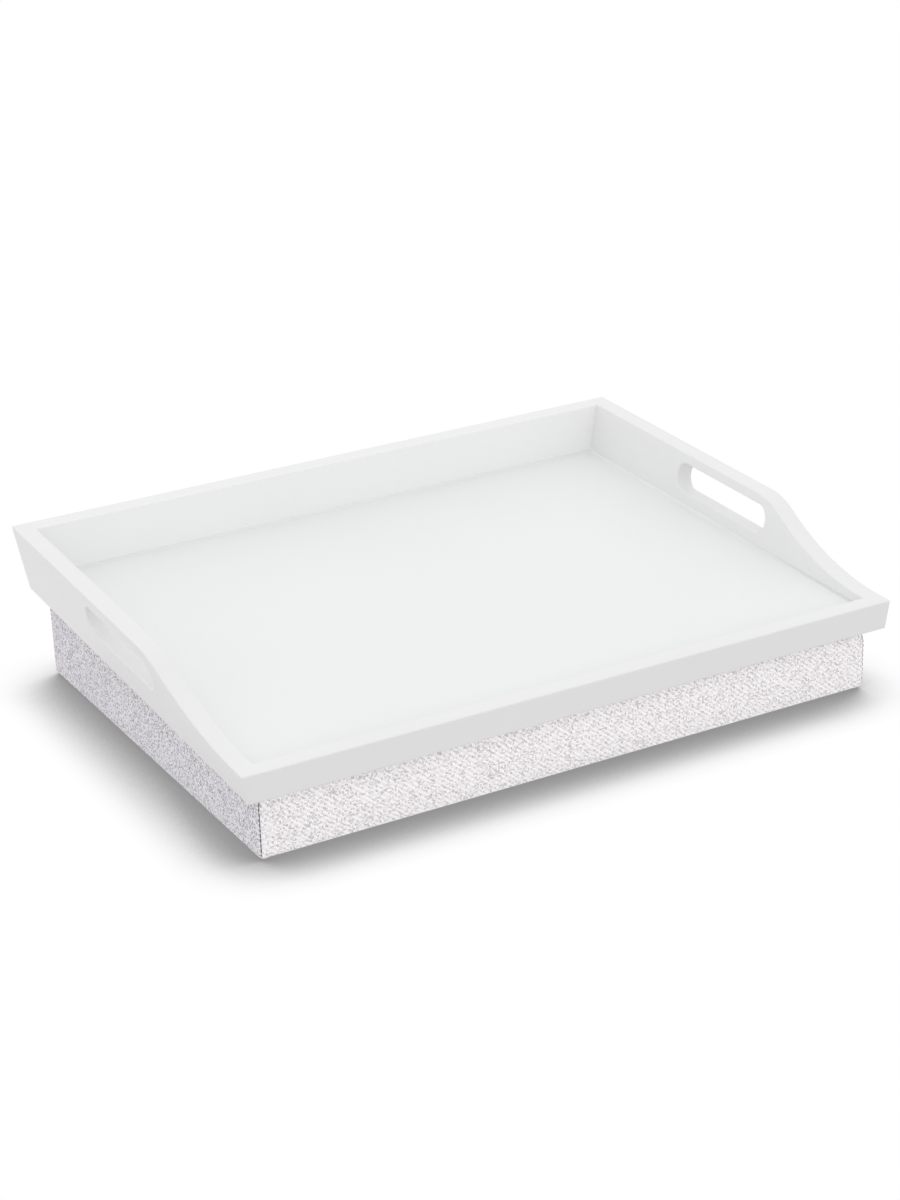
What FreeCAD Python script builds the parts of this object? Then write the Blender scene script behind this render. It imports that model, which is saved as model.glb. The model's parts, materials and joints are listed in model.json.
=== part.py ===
import FreeCAD, Part
import math
import os

from FreeCAD import Placement, Rotation, Vector

# A lap tray: a painted tray of flat boards that lifts off a bead-filled cushion.
# Millimetres and degrees. The tray is drawn in its own frame, where z = 0 is the plane of the boards'
# bottom edges, +x is the user's right and -y is towards the user. The cushion is a wedge, thicker at the
# back, so at the end every piece is turned by the tray's pitch and set down with the middle of the base
# of the bounding box at the origin.

# Tray boards
tray_width = 444.5  # over the top edges of the two end panels
tray_depth = 343.0
board_thickness = 12.0
back_height = 45.6  # the back rail, and the end panels where they are level with it
lip_height = 18.2  # the front rail, and the end panels where they meet it
flare_angle = 10.0  # how far each end panel leans outwards
edge_ease = 1.0  # rounding of the boards' edges, sanded after the frame is glued up
overrun = 5.0  # how far every cutting shape runs past what it cuts

# Swept fall of each end panel, from the level back down to the front lip
sweep_foot_setback = 13.0  # from the tray's front to the foot of the sweep
sweep_angle = 24.7  # slope of the straight run between the two rounds
sweep_straight = 5.0  # length of that run
sweep_shoulder_radius = 57.0  # the foot's radius follows from the height that is left

# Hand hole in each end panel, cut square to the panel. It is placed from the sweep, so that the sweep
# can't run into it, and is centred in the tray's depth
slot_length = 101.5
slot_height = 18.8  # along the slope of the panel
slot_centre_height = 29.7  # above the boards' bottom edges, on the inner face
slot_lead = 12.4  # how far the hole starts in front of the sweep's shoulder
slot_end_round_share = 0.92  # radius of the rounded ends, as a share of half the slot's height
slot_ease = 0.8

# Base panel, held in a groove on the inside of all four boards
base_thickness = 6.0
recess_depth = 5.9  # from the boards' bottom edges up to the panel's underside
groove_depth = 5.0  # measured at the level of the panel's top face
joint_clearance = 0.2

# Dowels, two in each back corner
dowel_diameter = 6.0
dowel_length = 28.0
dowel_depth_in_panel = 9.0
dowel_margin = 8.0  # from the rail's top, and from the base panel, to a dowel's axis
dowel_chamfer = 0.6
dowel_end_gap = 0.5
fastener_clearance = 0.05

# Brads, two in each front corner, set below the face and filled over
brad_length = 30.0
brad_diameter = 1.6
brad_head_diameter = 2.6
brad_head_thickness = 0.8
brad_set_depth = 1.5
brad_margin = 2.9  # from the rail's top and bottom edges to a brad's axis

# Hook strips glued under the base panel, and loop strips sewn to the cushion's cover
strip_length = 90.0
strip_width = 25.0
strip_side_inset = 28.0  # from the sides of the tray's opening to the strips
strip_end_inset = 24.0  # from the front and back of the opening to the strips
hook_thickness = 1.2
loop_thickness = 1.2
strip_gap = 0.3

# Cushion, whose top nests inside the boards, under the base panel
cushion_front_height = 42.5  # from the boards' bottom edges to the floor, square to the tray
cushion_back_height = 60.0
cushion_clearance = 0.3  # between the cover and the boards that it nests in
cushion_side_swell = 1.2  # at half height, between the seams
cushion_corner_radius = 4.0
cushion_top_radius = 13.0
cushion_foot_radius = 6.0
cushion_round_steps = 3  # stretches between the sections of each rounded edge
cushion_side_steps = 4  # and of each side
floor_bite = 0.5  # how deep the floor flattens the round of the cushion's underside
cover_thickness = 1.6
bag_clearance = 0.3
seam_drop = 2.0  # from the cover's top and bottom faces to its seams
corner_seam_reach = 16.0  # how far the corner seams' planes reach in from the cushion's corners

# Sizes worked out from those above
flare_run = math.tan(math.radians(flare_angle))
board_across = board_thickness / math.cos(math.radians(flare_angle))
foot_half_width = tray_width / 2 - back_height * flare_run
opening_half_width = foot_half_width - board_across
opening_half_depth = tray_depth / 2 - board_thickness
sweep_slope = math.radians(sweep_angle)
sweep_rounds_drop = back_height - lip_height - sweep_straight * math.sin(sweep_slope)
sweep_radii = sweep_rounds_drop / (1 - math.cos(sweep_slope))
sweep_foot_radius = sweep_radii - sweep_shoulder_radius
sweep_run = sweep_radii * math.sin(sweep_slope) + sweep_straight * math.cos(sweep_slope)
sweep_foot_y = -tray_depth / 2 + sweep_foot_setback
sweep_shoulder_y = sweep_foot_y + sweep_run
slot_middle_y = sweep_shoulder_y - slot_lead + slot_length / 2
base_top = recess_depth + base_thickness
groove_half_width = opening_half_width + base_top * flare_run + groove_depth
groove_half_depth = opening_half_depth + groove_depth
cushion_top = recess_depth - hook_thickness - strip_gap - loop_thickness
shoulder_rise = cushion_top_radius - cushion_top - cushion_clearance
shoulder_inset = cushion_top_radius - math.sqrt(cushion_top_radius**2 - shoulder_rise**2)
cushion_half_width = opening_half_width - cushion_clearance + shoulder_inset
cushion_half_depth = opening_half_depth - cushion_clearance + shoulder_inset
cushion_mid_height = (cushion_front_height + cushion_back_height) / 2
pitch = math.degrees(math.atan2(cushion_back_height - cushion_front_height, 2 * cushion_half_depth))


def inner_face(height):
    """Distance from the middle of the tray to an end panel's inner face, at a height."""
    return opening_half_width + height * flare_run


def polygon_face(points):
    """Flat face inside a closed polygon."""
    return Part.Face(Part.makePolygon(points + points[:1]))


def box(low, high):
    """Box between two opposite corners."""
    size = high - low
    return Part.makeBox(size.x, size.y, size.z, low)


def mirrored(shape):
    """The same piece for the other side of the tray."""
    return shape.mirror(Vector(0, 0, 0), Vector(1, 0, 0))


def normal_at_middle(face):
    """Outward normal at the middle of a face's own parameters."""
    u_low, u_high, v_low, v_high = face.ParameterRange
    return face.normalAt((u_low + u_high) / 2, (v_low + v_high) / 2)


def middle_of(edge):
    """Point half way along an edge's own parameter."""
    return edge.valueAt((edge.FirstParameter + edge.LastParameter) / 2)


def outer_edges(faces):
    """Edges that belong to one of the faces, and aren't shared between two of them."""
    edges = [edge for face in faces for edge in face.Edges]
    return [edge for edge in edges if sum(edge.isSame(other) for other in edges) == 1]


def rounded_rectangle(half_x, half_y, radius):
    """Closed outline about the origin in the plane z = 0: four straight sides and four quarter rounds."""
    rounds = []
    for sign_x, sign_y, start in ((1, -1, -90), (1, 1, 0), (-1, 1, 90), (-1, -1, 180)):
        centre = Vector(sign_x * (half_x - radius), sign_y * (half_y - radius), 0)
        angles = [math.radians(start + turn) for turn in (0, 45, 90)]
        rounds.append([centre + Vector(math.cos(a), math.sin(a), 0) * radius for a in angles])
    edges = []
    for here, after in zip(rounds, rounds[1:] + rounds[:1]):
        edges.append(Part.Arc(*here).toShape())
        edges.append(Part.makeLine(here[-1], after[0]))
    return Part.Wire(edges)


# Boards of the tray's frame


def sweep_outline():
    """Side view of an end panel in the plane x = 0: level at the back, then a swept fall to the lip."""

    def on_foot(angle):
        rise = sweep_foot_radius * (1 - math.cos(angle))
        return Vector(0, sweep_foot_y + sweep_foot_radius * math.sin(angle), lip_height + rise)

    def on_shoulder(angle):
        fall = sweep_shoulder_radius * (1 - math.cos(angle))
        return Vector(0, sweep_shoulder_y - sweep_shoulder_radius * math.sin(angle), back_height - fall)

    front_foot = Vector(0, -tray_depth / 2, 0)
    back_foot = Vector(0, tray_depth / 2, 0)
    back_top = Vector(0, tray_depth / 2, back_height)
    front_top = Vector(0, -tray_depth / 2, lip_height)
    return Part.Wire([
        Part.makeLine(front_foot, back_foot),
        Part.makeLine(back_foot, back_top),
        Part.makeLine(back_top, on_shoulder(0)),
        Part.Arc(on_shoulder(0), on_shoulder(sweep_slope / 2), on_shoulder(sweep_slope)).toShape(),
        Part.makeLine(on_shoulder(sweep_slope), on_foot(sweep_slope)),
        Part.Arc(on_foot(sweep_slope), on_foot(sweep_slope / 2), on_foot(0)).toShape(),
        Part.makeLine(on_foot(0), front_top),
        Part.makeLine(front_top, front_foot),
    ])


def raw_end_panel():
    """Right end panel with square edges: a leaning slab cut to the side view's outline."""
    bottom = -overrun
    top = back_height + overrun
    inner_low = inner_face(bottom)
    inner_high = inner_face(top)
    y = -tray_depth / 2 - overrun
    slab = polygon_face([
        Vector(inner_low, y, bottom),
        Vector(inner_low + board_across, y, bottom),
        Vector(inner_high + board_across, y, top),
        Vector(inner_high, y, top),
    ]).extrude(Vector(0, tray_depth + 2 * overrun, 0))
    return slab.common(Part.Face(sweep_outline()).extrude(Vector(tray_width, 0, 0)))


def raw_rail(height, back_y):
    """Rail between the end panels, with square edges and its ends cut to their lean."""
    y = back_y - board_thickness
    return polygon_face([
        Vector(-inner_face(0), y, 0),
        Vector(inner_face(0), y, 0),
        Vector(inner_face(height), y, height),
        Vector(-inner_face(height), y, height),
    ]).extrude(Vector(0, board_thickness, 0))


def eased_frame(boards):
    """The four boards as one, with their edges sanded round, so that the easing runs on over the joints."""
    frame = boards[0].fuse(boards[1:]).removeSplitter()
    tops = [face for face in frame.Faces if normal_at_middle(face).z > math.cos(math.radians(45))]
    undersides = [face for face in frame.Faces if normal_at_middle(face).z < -math.cos(math.radians(45))]
    rims = outer_edges(tops) + outer_edges(undersides)
    corners = []
    for edge in frame.Edges:
        middle = middle_of(edge)
        upright = abs((edge.valueAt(edge.LastParameter) - edge.valueAt(edge.FirstParameter)).y) < edge_ease
        inside_height = edge_ease < middle.z < back_height - edge_ease
        if upright and inside_height and abs(middle.y) > tray_depth / 2 - edge_ease:
            corners.append(edge)
    rims = [edge for edge in rims if not any(edge.isSame(corner) for corner in corners)]
    return frame.makeFillet(edge_ease, rims + corners)


def slot_placement():
    """Puts the plane z = 0 on the right end panel's inner face, round the slot, facing out of the tray."""
    middle = Vector(inner_face(slot_centre_height), slot_middle_y, slot_centre_height)
    upright = Rotation(Vector(0, 1, 0), Vector(0, 0, 1), Vector(1, 0, 0), "ZXY")
    return Placement(middle, Rotation(Vector(0, 1, 0), flare_angle).multiply(upright))


def with_slot(panel):
    """Right end panel with its hand hole, its edges broken on both faces."""
    radius = slot_end_round_share * slot_height / 2
    cutter = Part.Face(rounded_rectangle(slot_length / 2, slot_height / 2, radius))
    cutter.translate(Vector(0, 0, -overrun))
    cutter = cutter.extrude(Vector(0, 0, board_thickness + 2 * overrun))
    place = slot_placement()
    cutter.Placement = place
    panel = panel.cut(cutter)
    rims = []
    for edge in panel.Edges:
        at = place.inverse().multVec(middle_of(edge))
        beside = abs(at.x) < slot_length / 2 + slot_ease and abs(at.y) < slot_height / 2 + slot_ease
        on_a_face = min(abs(at.z), abs(at.z - board_thickness)) < slot_ease / 2
        if beside and on_a_face:
            rims.append(edge)
    return panel.makeChamfer(slot_ease, rims)


# Base panel and its groove


def base_panel():
    """Floor of the tray, a loose board in its grooves."""
    half_width = groove_half_width - joint_clearance
    half_depth = groove_half_depth - joint_clearance
    return box(Vector(-half_width, -half_depth, recess_depth), Vector(half_width, half_depth, base_top))


def groove_space():
    """Room that the grooves leave for the base panel, which rests on their lower sides."""
    low = Vector(-groove_half_width, -groove_half_depth, recess_depth)
    return box(low, Vector(groove_half_width, groove_half_depth, base_top + joint_clearance))


# Dowels and brads, turned about the x axis from x = 0 towards the end panel on the right


def turned(points):
    """Solid of revolution about the x axis, from points of distance along it and radius."""
    face = polygon_face([Vector(along, radius, 0) for along, radius in points])
    return face.revolve(Vector(0, 0, 0), Vector(1, 0, 0), 360)


def dowel():
    """Wooden dowel with chamfered ends."""
    radius = dowel_diameter / 2
    return turned([
        (0, 0),
        (0, radius - dowel_chamfer),
        (dowel_chamfer, radius),
        (dowel_length - dowel_chamfer, radius),
        (dowel_length, radius - dowel_chamfer),
        (dowel_length, 0),
    ])


def dowel_hole():
    """Blind hole round a dowel, a little longer at both ends."""
    radius = dowel_diameter / 2 + fastener_clearance
    length = dowel_length + 2 * dowel_end_gap
    return Part.makeCylinder(radius, length, Vector(-dowel_end_gap, 0, 0), Vector(1, 0, 0))


def brad(clearance):
    """Headed nail from x = 0, or with a clearance all round, the hole that it makes."""
    radius = brad_diameter / 2 + clearance
    head_radius = brad_head_diameter / 2 + clearance
    head_start = brad_length - brad_head_thickness - clearance
    return turned([
        (-clearance, 0),
        (-clearance, radius),
        (head_start, radius),
        (head_start, head_radius),
        (brad_length + clearance, head_radius),
        (brad_length + clearance, 0),
    ])


def dowel_places():
    """Name and start of each dowel in the right back corner."""
    y = tray_depth / 2 - board_thickness / 2
    places = {}
    for name, z in (("lower", base_top + dowel_margin), ("upper", back_height - dowel_margin)):
        places[name] = Vector(inner_face(z) + dowel_depth_in_panel - dowel_length, y, z)
    return places


def brad_places():
    """Name and point of each brad in the right front corner."""
    y = -tray_depth / 2 + board_thickness / 2
    places = {}
    for name, z in (("lower", brad_margin), ("upper", lip_height - brad_margin)):
        places[name] = Vector(inner_face(z) + board_across - brad_set_depth - brad_length, y, z)
    return places


def moved(shape, place):
    """Copy of a shape, shifted by a vector."""
    return shape.translated(place)


# Hook and loop strips


def strip(thickness, bottom):
    """Strip cut square from the roll, in the right back corner of the opening."""
    x = opening_half_width - strip_side_inset
    y = opening_half_depth - strip_end_inset
    return box(Vector(x - strip_length, y - strip_width, bottom), Vector(x, y, bottom + thickness))


def four_strips(name, thickness, bottom):
    """The same strip in each corner of the opening."""
    back_right = strip(thickness, bottom)
    front_right = back_right.mirror(Vector(0, 0, 0), Vector(0, 1, 0))
    return {
        name + "_back_right": back_right,
        name + "_front_right": front_right,
        name + "_back_left": mirrored(back_right),
        name + "_front_left": mirrored(front_right),
    }


# Cushion


def floor_level(height):
    """Placement of a plane parallel to the floor, at a height above it, in the tray's frame."""
    height_at_middle = height / math.cos(math.radians(pitch)) - cushion_mid_height
    return Placement(Vector(0, 0, height_at_middle), Rotation(Vector(1, 0, 0), -pitch))


def tray_level(height):
    """Placement of a plane parallel to the tray's floor."""
    return Placement(Vector(0, 0, height), Rotation())


def section(inset, place):
    """Outline of the cushion, drawn in from its full size, in a placed plane."""
    outline = rounded_rectangle(cushion_half_width - inset, cushion_half_depth - inset, cushion_corner_radius)
    outline.Placement = place
    return outline


def cushion_form(inset):
    """The cushion's wedge, shrunk by an inset all round: a rounded foot flattened by the floor, sides that
    swell a little between the seams, and a rounded shoulder that draws in under the boards."""
    sections = []
    foot_radius = cushion_foot_radius - inset
    foot_start = math.degrees(math.acos(1 - floor_bite / foot_radius))
    for step in range(cushion_round_steps + 1):
        turn = math.radians(foot_start + (90 - foot_start) * step / cushion_round_steps)
        height = inset - floor_bite + foot_radius * (1 - math.cos(turn))
        sections.append(section(inset + foot_radius * (1 - math.sin(turn)), floor_level(height)))

    low = sections[-1].Placement.Base.z
    high = cushion_top - cushion_top_radius
    for step in range(1, cushion_side_steps):
        share = step / cushion_side_steps
        level = Vector(0, 0, low + (high - low) * share)
        place = Placement(level, Rotation(Vector(1, 0, 0), -pitch * (1 - share)))
        sections.append(section(inset - cushion_side_swell * math.sin(math.pi * share), place))

    top_radius = cushion_top_radius - inset
    for step in range(cushion_round_steps + 1):
        turn = math.radians(90 * step / cushion_round_steps)
        place = tray_level(high + top_radius * math.sin(turn))
        sections.append(section(inset + top_radius * (1 - math.cos(turn)), place))
    return Part.makeLoft(sections, True, True)


def half_space(place, upwards):
    """Block above or below a placed plane, larger than the cushion."""
    reach = tray_width
    height = reach if upwards else -reach
    block = Part.makeBox(2 * reach, 2 * reach, reach, Vector(-reach, -reach, min(height, 0)))
    block.Placement = place
    return block


def corner_to_corner(half_x, half_y):
    """Block round one straight side at -y, with its ends cut at 45 degrees through the corners."""
    bottom = -2 * cushion_back_height
    return polygon_face([
        Vector(-half_x - overrun, -half_y - overrun, bottom),
        Vector(half_x + overrun, -half_y - overrun, bottom),
        Vector(half_x - corner_seam_reach, -half_y + corner_seam_reach, bottom),
        Vector(-half_x + corner_seam_reach, -half_y + corner_seam_reach, bottom),
    ]).extrude(Vector(0, 0, -bottom + back_height))


def turned_about_z(shape, angle):
    """Copy of a shape, turned about the z axis."""
    copy = shape.copy()
    copy.rotate(Vector(0, 0, 0), Vector(0, 0, 1), angle)
    return copy


def cushion_cover():
    """Top and bottom panels and four side panels, sewn together at the edges and corners."""
    shell = cushion_form(0).cut(cushion_form(cover_thickness))
    above = half_space(tray_level(cushion_top - seam_drop), True)
    below = half_space(floor_level(seam_drop), False)
    band = shell.cut(above.fuse(below))
    long_side = corner_to_corner(cushion_half_width, cushion_half_depth)
    short_side = corner_to_corner(cushion_half_depth, cushion_half_width)
    return {
        "cover_top": shell.common(above),
        "cover_bottom": shell.common(below),
        "cover_front": band.common(long_side),
        "cover_back": band.common(turned_about_z(long_side, 180)),
        "cover_right": band.common(turned_about_z(short_side, 90)),
        "cover_left": band.common(turned_about_z(short_side, -90)),
    }


# Assembly


def tray_pieces():
    """Boards, joinery and hook strips."""
    raw = {
        "front_rail": raw_rail(lip_height, -tray_depth / 2 + board_thickness),
        "back_rail": raw_rail(back_height, tray_depth / 2),
        "right_end_panel": raw_end_panel(),
        "left_end_panel": mirrored(raw_end_panel()),
    }
    frame = eased_frame(list(raw.values()))
    holes = [moved(dowel_hole(), place) for place in dowel_places().values()]
    holes += [moved(brad(fastener_clearance), place) for place in brad_places().values()]
    holes += [mirrored(hole) for hole in holes]
    boards = {name: board.common(frame).cut([groove_space()] + holes) for name, board in raw.items()}
    boards["right_end_panel"] = with_slot(boards["right_end_panel"])
    boards["left_end_panel"] = mirrored(boards["right_end_panel"])

    pieces = {"base_panel": base_panel()}
    pieces.update(boards)
    for name, place in dowel_places().items():
        pieces["dowel_back_right_" + name] = moved(dowel(), place)
        pieces["dowel_back_left_" + name] = mirrored(moved(dowel(), place))
    for name, place in brad_places().items():
        pieces["brad_front_right_" + name] = moved(brad(0), place)
        pieces["brad_front_left_" + name] = mirrored(moved(brad(0), place))
    pieces.update(four_strips("hook_strip", hook_thickness, recess_depth - hook_thickness))
    return pieces


def cushion_pieces():
    """Cover, bead bag and loop strips."""
    pieces = cushion_cover()
    pieces["bead_bag"] = cushion_form(cover_thickness + bag_clearance)
    pieces.update(four_strips("loop_strip", loop_thickness, cushion_top))
    return pieces


def set_down(pieces):
    """All pieces pitched as the tray stands, with the middle of the bounding box's base at the origin."""
    pitched = {}
    for name, shape in pieces.items():
        pitched[name] = shape.copy()
        pitched[name].rotate(Vector(0, 0, 0), Vector(1, 0, 0), pitch)
    bounds = FreeCAD.BoundBox()
    for shape in pitched.values():
        bounds.add(shape.optimalBoundingBox(False))
    shift = Vector(-bounds.Center.x, -bounds.Center.y, -bounds.ZMin)
    for name in pitched:
        pitched[name] = moved(pitched[name], shift)
    return pitched, shift


pieces, shift = set_down({**tray_pieces(), **cushion_pieces()})
os.makedirs("parts", exist_ok=True)
for name, shape in pieces.items():
    solid, = shape.Solids
    solid.exportStep("parts/" + name + ".step")
    print(name, "valid" if solid.isValid() else "NOT VALID", round(solid.Volume))
print("pitch", round(pitch, 4), "shift", [round(value, 4) for value in shift])
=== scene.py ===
import json
import math

import bpy
import numpy as np
from mathutils import Matrix, Vector


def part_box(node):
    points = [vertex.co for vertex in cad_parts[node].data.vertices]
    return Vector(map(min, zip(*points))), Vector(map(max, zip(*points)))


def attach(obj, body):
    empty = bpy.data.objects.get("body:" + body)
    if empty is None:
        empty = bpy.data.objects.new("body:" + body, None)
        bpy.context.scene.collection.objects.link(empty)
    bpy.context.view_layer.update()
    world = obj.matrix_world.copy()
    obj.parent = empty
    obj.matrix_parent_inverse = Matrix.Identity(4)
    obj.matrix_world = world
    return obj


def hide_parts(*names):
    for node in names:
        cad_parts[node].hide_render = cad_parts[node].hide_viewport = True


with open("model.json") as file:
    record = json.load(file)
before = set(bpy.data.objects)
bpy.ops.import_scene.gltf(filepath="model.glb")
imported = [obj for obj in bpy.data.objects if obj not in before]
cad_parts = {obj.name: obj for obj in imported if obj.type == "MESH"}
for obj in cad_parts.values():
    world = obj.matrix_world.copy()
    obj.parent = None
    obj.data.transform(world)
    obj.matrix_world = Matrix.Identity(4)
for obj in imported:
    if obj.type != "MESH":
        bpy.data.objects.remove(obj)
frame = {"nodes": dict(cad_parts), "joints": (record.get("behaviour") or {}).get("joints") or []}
bpy.context.view_layer.update()
nodes = frame["nodes"]


# Boards of the tray: fibreboard sawn to shape and glued up round a thin base panel, the edges sanded round.
# The whole tray was then sprayed with white lacquer, which fills the joints, so that none of them shows.


def linear(colour):
    """Linear RGBA of an sRGB hex colour: a channel is divided by 12.92 near black, else bent by a power."""
    channels = np.array([int(colour[start:start + 2], 16) for start in (1, 3, 5)]) / 255
    bent = ((channels + 0.055) / 1.055) ** 2.4
    return (*np.where(channels <= 0.04045, channels / 12.92, bent), 1)


def add_node(material, kind, inputs=None, **settings):
    """Adds a shader node. Settings are its own properties. Each input is named or numbered, and gets a
    value, a socket, or another node, whose first output in use is linked to it."""
    tree = material.node_tree
    node = tree.nodes.new(kind)
    for name, value in settings.items():
        setattr(node, name, value)
    for key, value in (inputs or {}).items():
        if isinstance(key, int):
            entry = node.inputs[key]
        else:
            entry = next(socket for socket in node.inputs if socket.enabled and socket.name == key)
        if isinstance(value, bpy.types.Node):
            value = next(socket for socket in value.outputs if socket.enabled)
        if isinstance(value, bpy.types.NodeSocket):
            tree.links.new(value, entry)
        else:
            entry.default_value = value
    return node


def new_material(name):
    """Material with an empty node tree."""
    material = bpy.data.materials.new(name)
    material.use_nodes = True
    material.node_tree.nodes.clear()
    return material


def satin_lacquer(name, pale, shade):
    """Satin lacquer sprayed on fibreboard: an even white with a soft, blurred reflection, and a faint orange
    peel that only shows where light glances off it."""
    cloud_size = 0.09
    peel_size = 0.0022
    peel_height = 0.000006
    material = new_material(name)
    place = add_node(material, "ShaderNodeTexCoord").outputs["Object"]
    cloud = add_node(material, "ShaderNodeTexNoise", {"Vector": place, "Scale": 1 / cloud_size, "Detail": 2})
    tint = add_node(material, "ShaderNodeMix", {"Factor": cloud, "A": linear(pale), "B": linear(shade)},
                    data_type="RGBA")
    gloss = add_node(material, "ShaderNodeMapRange", {"Value": cloud, "To Min": 0.30, "To Max": 0.40})
    peel = add_node(material, "ShaderNodeTexNoise", {"Vector": place, "Scale": 1 / peel_size, "Detail": 1})
    bump = add_node(material, "ShaderNodeBump", {"Height": peel, "Distance": peel_height})
    shader = add_node(material, "ShaderNodeBsdfPrincipled", {
        "Base Color": tint, "Roughness": gloss, "Normal": bump, "IOR": 1.48})
    add_node(material, "ShaderNodeOutputMaterial", {"Surface": shader})
    return material


lacquered_board = satin_lacquer("satin_lacquered_fibreboard", "#EEEEEE", "#EBEBEB")
for board in ("left_end_panel", "right_end_panel", "front_rail", "back_rail"):
    nodes[board].material_slots[0].material = lacquered_board


# Base panel: a thin sheet let into grooves in the four boards and lacquered with them. Its face is the
# harder and flatter of the two, so it is a little cooler, with the same soft reflection as the boards.

lacquered_panel = satin_lacquer("satin_lacquered_hardboard", "#EDEFEE", "#EAECEC")
nodes["base_panel"].material_slots[0].material = lacquered_panel


# Filled joint: where the base panel meets the boards, the lacquer and filler under it have run into a small
# hollow fillet, so that no dark gap shows round the tray's floor.

base_middle_level = 0.0089  # of the base panel, above the boards' bottom edges in the level tray
base_top_level = 0.0119
opening_half_width = 0.204122  # at the base panel's top face
opening_half_depth = 0.1595
flare = math.radians(10)
fillet_radius = 0.0013
fillet_steps = 5
fillet_sink = 0.00005  # how far the fillet's edges run into the boards and the panel
closing_sink = 0.0002  # how far its last row does, inside the corner

lift_axis = frame["joints"][0]["axis"]
tray_pitch = math.atan2(-lift_axis[1], lift_axis[2])
tray_turn = Matrix.Rotation(tray_pitch, 3, "X")
base_low, base_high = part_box("base_panel")
tray_origin = (base_low + base_high) / 2 - tray_turn @ Vector((0, 0, base_middle_level))


def in_place(points):
    """Points of the level tray, turned by the tray's pitch about the x axis and moved to where it stands."""
    return points @ np.array(tray_turn).T + np.array(tray_origin)


def new_piece(name, points, faces, material, smooth=True):
    """Object at the origin from arrays of points and of faces, all with the same number of corners."""
    mesh = bpy.data.meshes.new(name)
    mesh.from_pydata(points.reshape(-1, 3).tolist(), [], faces.reshape(-1, faces.shape[-1]).tolist())
    mesh.polygons.foreach_set("use_smooth", np.full(len(mesh.polygons), smooth))
    mesh.materials.append(material)
    piece = bpy.data.objects.new(name, mesh)
    bpy.context.scene.collection.objects.link(piece)
    return piece


def grid_faces(rows, columns, closed=False):
    """Quads between the neighbouring points of a grid, each turned left from along a row. In a closed grid
    the last column is joined to the first."""
    last_column = columns if closed else columns - 1
    row, column = np.meshgrid(np.arange(rows - 1), np.arange(last_column), indexing="ij")
    after = (column + 1) % columns
    corners = [row * columns + column, row * columns + after, (row + 1) * columns + after,
               (row + 1) * columns + column]
    return np.stack(corners, -1).reshape(-1, 4)


def filled_joint():
    """Hollow quarter round swept round the opening, with mitred corners. Turned by an angle from the panel to
    the wall, it stands off the wall by the radius less its sine's share, and off the panel by the radius less
    its cosine's. A last row inside the corner closes it."""
    turn = np.linspace(0, np.pi / 2, fillet_steps)
    off_wall = np.append(fillet_radius * (1 - np.sin(turn)), 0) - fillet_sink
    off_panel = np.append(fillet_radius * (1 - np.cos(turn)), 0) - fillet_sink
    off_wall[-1] = -closing_sink
    off_panel[-1] = -closing_sink
    half_x = opening_half_width + off_panel * math.tan(flare) - off_wall
    half_y = opening_half_depth - off_wall
    corners = np.array([(-1, -1), (1, -1), (1, 1), (-1, 1)])
    points = np.zeros((len(corners), len(off_wall), 3))
    points[..., 0] = corners[:, :1] * half_x
    points[..., 1] = corners[:, 1:] * half_y
    points[..., 2] = base_top_level + off_panel
    points = points.reshape(-1, 3)
    return points, grid_faces(len(corners) + 1, len(off_wall), closed=True) % len(points)


points, faces = filled_joint()
joint = new_piece("filled_joint", in_place(points), faces, lacquered_board)
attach(joint, "tray")


# Dowels: turned beech pegs, glued blind into each back corner. They are hidden, and are finished so that
# the tray can be shown taken apart.


def turned_beech():
    """Beech: pale pinkish brown, with fine darker flecks drawn out along the grain, and no shine."""
    fleck_length = 0.012
    fleck_width = 0.0006
    fleck_depth = 0.00003
    material = new_material("turned_beech")
    place = add_node(material, "ShaderNodeTexCoord").outputs["Object"]
    along_grain = add_node(material, "ShaderNodeMapping", {
        "Vector": place, "Scale": (1 / fleck_length, 1 / fleck_width, 1 / fleck_width)})
    fleck = add_node(material, "ShaderNodeTexNoise", {"Vector": along_grain, "Scale": 1, "Detail": 3})
    tone = add_node(material, "ShaderNodeMapRange", {"Value": fleck, "From Min": 0.35, "From Max": 0.75})
    tint = add_node(material, "ShaderNodeMix", {
        "Factor": tone, "A": linear("#DDBE93"), "B": linear("#B88A5C")}, data_type="RGBA")
    bump = add_node(material, "ShaderNodeBump", {"Height": fleck, "Distance": fleck_depth})
    shader = add_node(material, "ShaderNodeBsdfPrincipled", {
        "Base Color": tint, "Normal": bump, "Roughness": 0.62})
    add_node(material, "ShaderNodeOutputMaterial", {"Surface": shader})
    return material


beech = turned_beech()
for name in nodes:
    if name.startswith("dowel"):
        nodes[name].material_slots[0].material = beech


# Brads: headed nails cut from drawn steel wire, driven through each front corner, sunk below the face and
# filled over.


def drawn_steel():
    """Drawn steel wire: grey metal with fine bright lines left along it by the die."""
    line_length = 0.02
    line_width = 0.0002
    material = new_material("drawn_steel_wire")
    place = add_node(material, "ShaderNodeTexCoord").outputs["Object"]
    along_wire = add_node(material, "ShaderNodeMapping", {
        "Vector": place, "Scale": (1 / line_length, 1 / line_width, 1 / line_width)})
    line = add_node(material, "ShaderNodeTexNoise", {"Vector": along_wire, "Scale": 1, "Detail": 2})
    rough = add_node(material, "ShaderNodeMapRange", {"Value": line, "To Min": 0.25, "To Max": 0.45})
    shader = add_node(material, "ShaderNodeBsdfPrincipled", {
        "Base Color": linear("#BDBDC0"), "Metallic": 1, "Roughness": rough})
    add_node(material, "ShaderNodeOutputMaterial", {"Surface": shader})
    return material


steel = drawn_steel()
for name in nodes:
    if name.startswith("brad"):
        nodes[name].material_slots[0].material = steel


# Hook strips: woven nylon tape with rows of stiff moulded hooks, glued under the base panel near its
# corners. They grip the loop strips below.

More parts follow.
